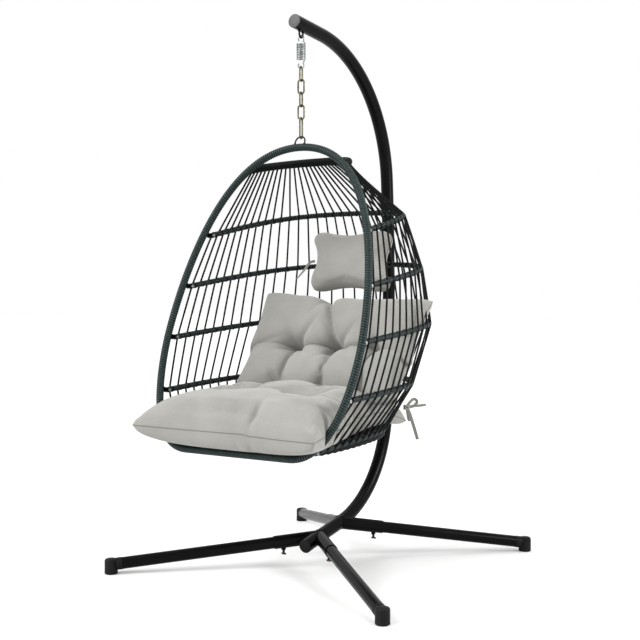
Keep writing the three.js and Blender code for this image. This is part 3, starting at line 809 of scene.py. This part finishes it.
# ---- basket ----
def lapped(pitch, relief, radius, sharp):
    """The radius of a bar wound with strip: each turn is crowned and meets the next in a groove."""
    def at(distance, angle):
        phase = (distance / pitch + angle / (2 * math.pi)) % 1.0
        return radius - relief + relief * math.sin(math.pi * phase) ** sharp
    return at


def wound(path, pitch, relief, radius, sides, per_turn=6, sharp=0.8):
    turns = max(1, round(path.length / pitch))
    points = path.even(turns * per_turn)
    crowned = lapped(path.length / turns, relief, radius, sharp)
    return Shape(BASKET).tube(points, crowned, sides, closed=path.closed)


def groove_shade_tube(name, path, radius, body, slot):
    """A black tube under the strip: painted shade that shows in the grooves between the turns."""
    points = path.points[:-1] if path.closed else path.points
    shape = Shape(BASKET).tube(points, radius, 20, closed=path.closed)
    finished(shape.piece(name, CORD, sharp=80), body, slot)


def build_hoop():
    path = Path(Path(hoop_points(), closed=True).even(900), closed=True)
    shape = wound(path, 0.0086, 0.0024, HOOP_R + 0.0009, 24)
    # A black tube under the hoop's strip, painted shade in its grooves.
    groove_shade_tube("hoop_groove_shade_tube", path, HOOP_R - 0.0002, "basket", "wicker_wrap")
    finished(shape.piece("hoop_wound", STRIP, sharp=60), "basket", "wicker_wrap", "hoop")
    ring = arc((0, 0, RING_RISE - RING_R), RING_R, 180, 0, 24)
    ring = [Vector((-RING_R, 0, 0.006))] + ring + [Vector((RING_R, 0, 0.006))]
    hanger = Shape(BASKET).tube(ring, RING_ROD_R, 14)
    weld = [(0, 0.009), (0.004, 0.009), (0.005, 0.0125), (0.0045, 0.0145), (0.0034, 0.0165), (0, 0.0165)]
    for side in SIDES.values():
        hanger.lathe(weld, 18, (side * RING_R, 0, 0), (0, 0, 1))
    for bar in BARS.values():
        for side in SIDES.values():
            add_tab(hanger, bar, side)
    finished(hanger.piece("hoop_fittings", STEEL), "basket", "wicker_wrap")


def add_tab(shape, bar, side):
    """The lug that holds a bar's pivot behind the hoop."""
    inner = bar_half_width(bar) + BOSS_HALF + BOSS_GAP
    outline = arc((0, PIVOT_BACK, 0), TAB_R, -90, 90, 16, level=(0, 1, 0))
    outline = [Vector((0, 0.004, -TAB_R))] + outline + [Vector((0, 0.004, TAB_R))]
    count = len(outline)
    verts = []
    for x in (inner, inner + TAB_THICKNESS):
        verts += [Vector((side * x, p.y, p.z - bar["down"])) for p in outline]
    faces = [list(range(count))[::-1], list(range(count, 2 * count))]
    faces += [[i, (i + 1) % count, (i + 1) % count + count, i + count] for i in range(count)]
    if side < 0:
        faces = [face[::-1] for face in faces]
    shape.add(verts, faces)


def build_top_bar():
    path = top_bar_path()
    shape = wound(path, 0.0052, 0.0018, TOP_BAR_R + 0.0004, 22, per_turn=7, sharp=0.7)
    finished(shape.piece("top_bar_wound", CORD, sharp=80), "basket", "cord_wrap", "top_bar")


def cord_loop(shape, path, distance, radius, lean):
    """One turn of a cord round a bar, from the inside over the top to the outside."""
    tangent = path.tangent(distance)
    centre = path.point(distance)
    side = tangent.orthogonal().normalized()
    up = tangent.cross(side)
    points = []
    for i in range(16):
        angle = 2 * math.pi * i / 16
        shift = tangent * (lean * CORD_R * math.sin(angle))
        points.append(centre + (side * math.cos(angle) + up * math.sin(angle)) * radius + shift)
    shape.tube(points, CORD_R, 8, closed=True)


def build_bars():
    for name, bar in BARS.items():
        path = bar_path(name)
        half = bar_half_width(bar)
        shape = wound(path, 0.0105, 0.0024, BAR_R + 0.0012, 16)
        # A black tube under the bar's strip, painted shade in its grooves.
        groove_shade_tube(f"{name}_core", path, BAR_R + 0.0001, BAR_BODY[name], "cord_wrap")
        loops = Shape(BASKET)
        for i in range(CORD_COUNT):
            distance = path.length * (i + 0.5) / CORD_COUNT
            cord_loop(loops, path, distance, BAR_R + 0.0024 - CORD_R, 0.9)
        ends = Shape(BASKET)
        for side in SIDES.values():
            place = pivot_place(bar, side * half)
            boss = [(0.0042, -0.0092), (0.0086, -0.0092), (0.0092, -0.0085), (0.0092, 0.0085),
                    (0.0086, 0.0092), (0.0042, 0.0092)]
            ends.lathe(boss, 28, place, (1, 0, 0))
        if name == "seat_frame":
            rod = Path([pivot_place(bar, -half + 0.004), pivot_place(bar, half - 0.004)])
            ends.tube(rod.even(40), FRONT_ROD_R, 16)
        body = BAR_BODY[name]
        # The bars' wound strip carries painted shade: a darker copy of the hoop's strip.
        wrapped = shape.piece(f"{name}_wound", BAR_STRIP_PAINTED_SHADE, sharp=60)
        finished(wrapped, body, "cord_wrap", name)
        finished(loops.piece(f"{name}_cord_turns", CORD), body, "cord")
        finished(ends.piece(f"{name}_ends", STEEL), body, "cord_wrap")


def build_pivot_bolts():
    for name, bar in BARS.items():
        for label, side in SIDES.items():
            half = bar_half_width(bar)
            inner = half - BOSS_HALF
            head = half + BOSS_HALF + BOSS_GAP + TAB_THICKNESS + 0.0003
            origin = pivot_place(bar, 0)
            shape = Shape(BASKET)
            if name == "seat_frame":
                # This one screws into the front rod.
                tip = [(0, inner + 0.001), (0.0032, inner + 0.001)]
            else:
                start = inner - 0.005
                tip = [(0, start), (0.0026, start), (0.0032, start + 0.0006)]
                nut = [(0.0033, inner - 0.004), (0.0054, inner - 0.004), (0.0058, inner - 0.0034),
                       (0.0058, inner - 0.0009), (0.0054, inner - 0.0003), (0.0033, inner - 0.0003)]
                shape.lathe(nut, 6, origin, (side, 0, 0))
            profile = tip + [(0.0032, head), (0.0066, head), (0.0066, head + 0.0008),
                             (0.0055, head + 0.0032), (0.003, head + 0.0043), (0, head + 0.0045)]
            shape.lathe(profile, 24, origin, (side, 0, 0))
            finished(shape.piece(f"pivot_screw_{name}_{label}", ZINC), "basket", "zinc",
                     f"pivot_bolt_{name}_{label}")


# ---- cords ----
def strung():
    """The bars that the cords pass, from the top down: path and radius."""
    return [(top_bar_path(), TOP_BAR_R)] + [(bar_path(name), BAR_R) for name in BARS]


def folds(obj):
    """Gives the piece its own copy of its mesh."""
    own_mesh(obj)


def build_cords():
    bars = strung()
    for level in range(5):
        (upper, upper_r), (lower, lower_r) = bars[level], bars[level + 1]
        shape = Shape(BASKET)
        first = 1 if level == 0 else 0
        for i in range(first, CORD_COUNT - first):
            share = (i + 0.5) / CORD_COUNT
            top_at, low_at = upper.length * share, lower.length * share
            top, low = upper.point(top_at), lower.point(low_at)
            way = (low - top).normalized()
            outward = upper.tangent(top_at).cross(way).normalized()
            # The cord comes off the top bar's underside, and off the others' outside.
            off = way * upper_r if level == 0 else way * upper_r * 0.2 + outward * upper_r
            start = top + off
            end = low + outward * lower_r * 0.9
            slack = way.cross(outward) * 0.0006 * RANDOM.uniform(-1, 1) + outward * 0.0008
            points = [start.lerp(end, k / 8) + slack * math.sin(math.pi * k / 8) for k in range(9)]
            shape.tube(points, CORD_R, 8)
        obj = finished(shape.piece(f"cords_{level + 1}", CORD), "basket", "cord",
                       f"cord_net_{level + 1}_left", f"cord_net_{level + 1}_right")
        folds(obj)


def net_point(half, rim, share, back):
    """A place on the sagging net: share runs from left to right, back from front to rear."""
    front = pivot_place(BARS["seat_frame"], -half + 2 * half * share)
    rear = rim.point(rim.length * (NET_REAR[0] + NET_REAR[1] * share))
    sag = NET_SAG * math.sin(math.pi * share) * math.sin(math.pi * back)
    return front.lerp(rear, back) - Vector((0, 0, sag))


def build_seat_cords():
    """Cords from the front rod to the frame's rear, sagging a little under the cushion."""
    half = bar_half_width(BARS["seat_frame"])
    rim = bar_path("seat_frame")
    shape = Shape(BASKET)
    for i in range(SEAT_CORD_COUNT):
        share = (i + 0.5) / SEAT_CORD_COUNT
        points = [net_point(half, rim, share, k / 16) for k in range(17)]
        shape.tube(points, CORD_R, 8)
    # Cross cords woven over and under them.
    for k in range(1, SEAT_CROSS_COUNT):
        points = []
        for i in range(121):
            share = i / 120
            weave = 0.0045 * math.sin(math.pi * share * SEAT_CORD_COUNT) * (-1) ** k
            points.append(net_point(half, rim, share, k / SEAT_CROSS_COUNT) + Vector((0, 0, weave)))
        shape.tube(points, CORD_R * 0.9, 7)
    # The net's edge: cords plaited along the frame, hanging below it.
    for k in range(1, SELVAGE_COUNT + 1):
        points = []
        for i in range(241):
            plait = 0.0022 * math.sin(i * 1.1 + k * math.pi)
            hang = (BAR_R + 0.0052 * k - 0.003) * math.sin(math.pi * i / 240) ** 0.3
            points.append(rim.point(rim.length * i / 240) + Vector((0, plait, plait - hang)))
        shape.tube(points, CORD_R * 1.15, 7)
    finished(shape.piece("seat_cords", CORD), "seat", "cord", "seat_net")


# ---- cushions ----
def cushion_grid(spec):
    """Top and bottom sheets over one square, sharing their edge, as vertices, faces and labels."""
    nu, nv = spec["grid"]
    verts, top, bottom = [], {}, {}
    for sheet, sign in ((top, 1), (bottom, -1)):
        for i in range(nu + 1):
            for j in range(nv + 1):
                edge = i in (0, nu) or j in (0, nv)
                if edge and sign < 0:
                    sheet[i, j] = top[i, j]
                    continue
                u, v = 2 * i / nu - 1, 2 * j / nv - 1
                sheet[i, j] = len(verts)
                verts.append(cushion_point(spec, u, v, sign))
    faces = []
    for i in range(nu):
        for j in range(nv):
            faces.append([top[i, j], top[i + 1, j], top[i + 1, j + 1], top[i, j + 1]])
            faces.append([bottom[i, j], bottom[i, j + 1], bottom[i + 1, j + 1], bottom[i + 1, j]])
    return verts, faces, top


def cushion_point(spec, u, v, sign):
    """Where (u, v), each from -1 to 1, lies on the cushion's top (sign 1) or bottom."""
    half_x, half_y, high, low = spec["half"]
    pull_x, pull_y = spec["pull"]
    rounding = spec.get("rounding", 0.0)
    x = half_x * u * math.sqrt(1 - rounding * v**4) * (1 - pull_x * (1 - v * v))
    y = half_y * v * math.sqrt(1 - rounding * u**4) * (1 - pull_y * (1 - u * u))
    x *= 1 + spec.get("flare", 0) * -v
    x += spec.get("lean", 0) * v
    crown = ((1 - u**4) * (1 - v**4)) ** spec["crown"]
    z = (high if sign > 0 else -low) * crown
    if sign > 0:
        z -= tuft_depth(spec, u, v) + crease_depth(spec, u, v, 1.0) * crown
    # A seat's rear corners are pushed back and down between the cords.
    out, back, down = spec.get("ear", (0, 0, 0))
    corner = (max(0.0, v) * abs(u)) ** 4
    return Vector((x + math.copysign(out * corner, u), y + back * corner, z - down * corner))


def tuft_depth(spec, u, v):
    half_x, half_y = spec["half"][:2]
    depth = 0.0
    for tu, tv, deepest, spread in spec["tufts"]:
        away = math.hypot((u - tu) * half_x, (v - tv) * half_y)
        depth += deepest * math.exp(-((away / spread) ** 1.3))
    return depth


def crease_depth(spec, u, v, width):
    """How far the creases press the top in. Each may fade from its start to its end."""
    half_x, half_y = spec["half"][:2]
    here = Vector((u * half_x, v * half_y))
    depth = 0.0
    for (au, av), (bu, bv), deepest, spread, fade in spec["creases"]:
        start = Vector((au * half_x, av * half_y))
        end = Vector((bu * half_x, bv * half_y))
        away, along = off_span(here, start, end)
        depth += deepest * (1 - fade * along) * math.exp(-((away / (spread * width)) ** 1.2))
    return depth


def pressed(obj, top, spec):
    """Sharpens the creases again after the cloth has rounded them."""
    nu, nv = spec["grid"]
    for (i, j), index in top.items():
        if 0 < i < nu and 0 < j < nv:
            u, v = 2 * i / nu - 1, 2 * j / nv - 1
            obj.data.vertices[index].co.z -= 0.6 * crease_depth(spec, u, v, 0.6)


def off_span(point, start, end):
    """How far a point is from a straight crease, and at what share of its length."""
    span = end - start
    share = max(0.0, min(1.0, (point - start).dot(span) / span.length_squared))
    return (point - start - span * share).length, share


def held_tufts(obj, spec):
    """The group of vertices that the stitches hold down."""
    pin = obj.vertex_groups.new(name="held")
    half_x, half_y = spec["half"][:2]
    for v in obj.data.vertices:
        for tu, tv, *_ in spec["tufts"]:
            if math.hypot(v.co.x - tu * half_x, v.co.y - tv * half_y) < CLOTH_HOLD:
                pin.add([v.index], 1.0, "REPLACE")
    return pin


def cloth_cover(obj, spec):
    """A modifier that makes the piece a stretchy cover under pressure from inside."""
    cloth = obj.modifiers.new("cloth", "CLOTH")
    configured(cloth.settings, quality=6, mass=0.25, tension_stiffness=12, compression_stiffness=6,
               shear_stiffness=4, bending_stiffness=0.15, use_pressure=True,
               uniform_pressure_force=spec.get("pressure", 4.0), shrink_min=spec["surplus"],
               vertex_group_mass="held")
    cloth.settings.effector_weights.gravity = 0
    cloth.collision_settings.use_collision = False
    return cloth


def swollen(obj, spec):
    """Blows the cover up as cloth, with its tufts held, and caps how far any point goes."""
    pin = held_tufts(obj, spec)
    cloth = cloth_cover(obj, spec)
    scene = bpy.context.scene
    for frame in range(1, CLOTH_FRAMES + 1):
        scene.frame_set(frame)
    settled = obj.evaluated_get(bpy.context.evaluated_depsgraph_get()).to_mesh()
    moves = [new.co - old.co for old, new in zip(obj.data.vertices, settled.vertices)]
    obj.to_mesh_clear()
    obj.modifiers.remove(cloth)
    obj.vertex_groups.remove(pin)
    scene.frame_set(1)
    for v, move in zip(obj.data.vertices, moves):
        v.co += move * min(1.0, spec["cap"] / max(move.length, 1e-9))


def subdivided(obj):
    modifier = obj.modifiers.new("fine", "SUBSURF")
    modifier.levels = modifier.render_levels = 1
    fine = bpy.data.meshes.new_from_object(obj.evaluated_get(bpy.context.evaluated_depsgraph_get()))
    obj.modifiers.clear()
    obj.data = fine
    fine.polygons.foreach_set("use_smooth", [True] * len(fine.polygons))


def welt(verts, top, spec):
    """The sewn edge: a thin cord of doubled fabric round the cushion's rim."""
    nu, nv = spec["grid"]
    rim = [(i, 0) for i in range(nu)] + [(nu, j) for j in range(nv)]
    rim += [(i, nv) for i in range(nu, 0, -1)] + [(0, j) for j in range(nv, 0, -1)]
    return Shape().tube([verts[top[key]].co.copy() for key in rim], 0.0014, 6, closed=True)


def build_cushion(name, spec, node):
    verts, faces, top = cushion_grid(spec)
    obj = Shape().add(verts, faces).piece(name, FABRIC, sharp=180)
    swollen(obj, spec)
    pressed(obj, top, spec)
    subdivided(obj)
    obj.data.transform(spec["place"])
    # The welt uses the half-bright fabric: painted shade along the seam.
    edge = welt(obj.data.vertices, top, spec).piece(f"{name}_welt", SEAM_PAINTED_SHADE)
    finished(obj, "basket", "cushion_fabric", node)
    finished(edge, "basket", "cushion_fabric")
    for piece in (obj, edge):
        folds(piece)


def tilted(x, y, z, degrees):
    return Matrix.Translation((x, y, z)) @ Matrix.Rotation(math.radians(degrees), 4, "X")


COLUMNS = (-0.131, 0.039, 0.2)  # across the back, where its folds are stitched down


def stitched(half_x, v, depth, spread):
    """A row of tufts, one in each column."""
    return [(x / half_x, v, depth, spread) for x in COLUMNS]


def channels(half_x, low, high, depth, spread):
    return [((x / half_x, low), (x / half_x, high), depth, spread, 0.0) for x in COLUMNS]


# half: half width, half depth, rise above the rim, drop below it. Tufts are (u, v, depth, spread),
# and creases (from, to, depth, spread, how far they fade).
SEAT = dict(
    half=(0.302, 0.352, 0.084, 0.072), grid=(72, 84), pull=(0.03, 0.02), flare=0.2, crown=0.3,
    fill=0.7,
    tufts=[(-0.4, -0.16, 0.034, 0.05), (0.36, -0.16, 0.034, 0.05),
           (-0.4, 0.42, 0.038, 0.05), (0.36, 0.42, 0.038, 0.05)],
    creases=[
        ((-0.4, -0.16), (-0.4, 0.42), 0.009, 0.03, 0), ((0.36, -0.16), (0.36, 0.42), 0.009, 0.03, 0),
        ((-0.4, -0.16), (0.36, -0.16), 0.005, 0.03, 0), ((-0.4, 0.42), (0.36, 0.42), 0.011, 0.03, 0),
        ((0.3, -1), (0.33, -0.62), 0.022, 0.01, 1), ((-0.4, -0.16), (-0.66, -0.42), 0.012, 0.012, 1),
        ((-0.4, -0.16), (-0.44, -0.52), 0.008, 0.012, 1), ((0.36, -0.16), (0.62, -0.4), 0.012, 0.012, 1),
        ((0.36, -0.16), (0.3, -0.5), 0.008, 0.012, 1), ((0.92, -0.92), (0.6, -0.6), 0.012, 0.014, 1),
        ((-0.95, -0.95), (-0.66, -0.7), 0.01, 0.014, 1),
    ],
    ear=(-0.02, 0.072, 0.075), surplus=-0.1, cap=0.018, place=tilted(0, -0.276, 0.579, 4.5),
)
LOWER_BACK = dict(
    half=(0.325, 0.106, 0.066, 0.055), grid=(78, 32), pull=(0.03, 0.02), crown=0.3, fill=0.8,
    tufts=stitched(0.325, -0.95, 0.05, 0.04) + stitched(0.325, 0.97, 0.06, 0.04),
    creases=channels(0.325, -0.95, 0.97, 0.016, 0.022)
    + [((-0.38, 0.97), (-0.12, 0.1), 0.012, 0.012, 1.0), ((0.19, 0.97), (-0.08, 0.0), 0.012, 0.012, 1.0),
       ((0.19, 0.97), (0.5, 0.0), 0.012, 0.012, 1.0), ((-0.38, 0.97), (-0.7, 0.3), 0.012, 0.012, 1.0)],
    surplus=-0.1, cap=0.016, place=tilted(0.018, -0.046, 0.696, 50),
)
UPPER_BACK = dict(
    half=(0.345, 0.126, 0.068, 0.052), grid=(80, 34), pull=(0.05, 0.1), crown=0.3, fill=0.8,
    tufts=stitched(0.345, -1.0, 0.06, 0.045) + [(-0.1, 1.0, 0.055, 0.03)],
    creases=[
        ((-0.1, 1), (0.16, -0.95), 0.024, 0.014, 0.3), ((-0.1, 1), (-0.28, 0), 0.014, 0.014, 1),
        ((0.17, -1), (-0.06, 0.15), 0.018, 0.014, 1), ((0.17, -1), (0.42, 0.1), 0.016, 0.014, 1),
        ((-0.34, -1), (-0.1, 0.25), 0.018, 0.014, 1), ((-0.34, -1), (-0.62, 0.2), 0.014, 0.014, 1),
        ((-0.98, -0.98), (-0.45, -0.55), 0.014, 0.012, 1), ((0.66, -1), (0.55, 0.2), 0.014, 0.014, 1),
    ],
    surplus=-0.1, cap=0.016, place=tilted(0.022, 0.054, 0.86, 60),
)
PILLOW = dict(
    half=(0.208, 0.156, 0.046, 0.036), grid=(54, 40), pull=(0.24, 0.27), rounding=0.42,
    lean=-0.018, crown=0.42, fill=0.8, tufts=[], creases=[], pressure=3.0, surplus=-0.02,
    cap=0.01, place=tilted(0.02, 0.148, 1.1, 68),
)


def build_cushions():
    build_cushion("seat_pad", SEAT, "seat_cushion")
    build_cushion("lower_back_pad", LOWER_BACK, "lower_back_cushion")
    build_cushion("upper_back_pad", UPPER_BACK, "upper_back_cushion")
    build_cushion("head_pad", PILLOW, "head_pillow")


# ---- ties ----
def ribbon(name, points, width, across, twist):
    """A flat sewn tape through the points. Its width starts along across and turns by twist."""
    path = Path(smoothed([Vector(p) for p in points], 6))
    count = max(8, round(path.length / 0.004))
    verts, faces = [], []
    side = Vector(across).normalized()
    for i in range(count + 1):
        at = path.length * i / count
        tangent = path.tangent(at, 0.003)
        side = (side - tangent * side.dot(tangent)).normalized()
        turned = Matrix.Rotation(twist * i / count, 3, tangent) @ side
        thick = tangent.cross(turned) * 0.0006
        centre = path.point(at)
        for w, t in ((-0.5, -1), (0.5, -1), (0.5, 1), (-0.5, 1)):
            verts.append(centre + turned * (w * width) + thick * t)
    for i in range(count):
        a, b = 4 * i, 4 * i + 4
        for j in range(4):
            k = (j + 1) % 4
            faces.append([a + j, a + k, b + k, b + j])
    faces.append([3, 2, 1, 0])
    faces.append([4 * count + j for j in range(4)])
    obj = Shape().add(verts, faces).piece(name, FABRIC)
    return finished(obj, "basket", "cushion_fabric"), path.length


def tie(name, points, width, across, twist):
    obj, length = ribbon(name, points, width, across, twist)
    folds(obj)


def knot(name, place, radius):
    """A pulled-tight knot: two turns of tape drawn into a ball."""
    points = []
    for i in range(49):
        a = 4 * math.pi * i / 48
        turn = Vector((math.cos(a), 0.8 * math.sin(a + 0.4), 0.7 * math.sin(1.5 * a)))
        points.append(place + turn * radius)
    shape = Shape().tube(points, radius * 0.55, 10)
    folds(finished(shape.piece(name, FABRIC), "basket", "cushion_fabric"))


def build_ties():
    right = Vector((0.832, 0.554, 0))  # across the seen side, left to right
    up = Vector((0, 0, 1))
    # The seat's rear right corner is tied outside the cords, with one loop and three tails.
    base = Vector((0.252, 0.15, 0.573))
    knot("rear_tie_knot", base, 0.0075)
    for label, width, route in (
        ("upper", 0.01, ((0, 0), (0.018, 0.004), (0.045, 0.006), (0.07, 0.009))),
        ("long", 0.012, ((0, 0), (0.01, -0.02), (0.024, -0.062), (0.04, -0.116))),
        ("short", 0.01, ((0, 0), (0.003, -0.016), (0.006, -0.036), (0.01, -0.05))),
        ("loop", 0.01, ((0, 0), (0.01, 0.016), (0.026, 0.03), (0.038, 0.02), (0.024, 0.004),
                         (0.004, 0))),
    ):
        points = [base + right * x + up * z for x, z in route]
        tie(f"rear_tie_{label}", points, width, right if label != "upper" else up, 0.5)
    # The pillow's left tie goes round a cord, and its end hangs behind the cords.
    start = Vector((-0.15, 0.158, 1.105))
    route = ((0, 0), (-0.02, -0.006), (-0.038, -0.03), (-0.07, -0.068))
    points = [start + right * x + up * z for x, z in route]
    tie("pillow_tie", points, 0.01, up, 1.2)


camera()
studio()
build_post()
build_caps()
build_post_bolts()
build_legs()
build_spring()
build_chain()
build_hoop()
build_top_bar()
build_bars()
build_pivot_bolts()
build_cords()
build_seat_cords()
build_cushions()
build_ties()
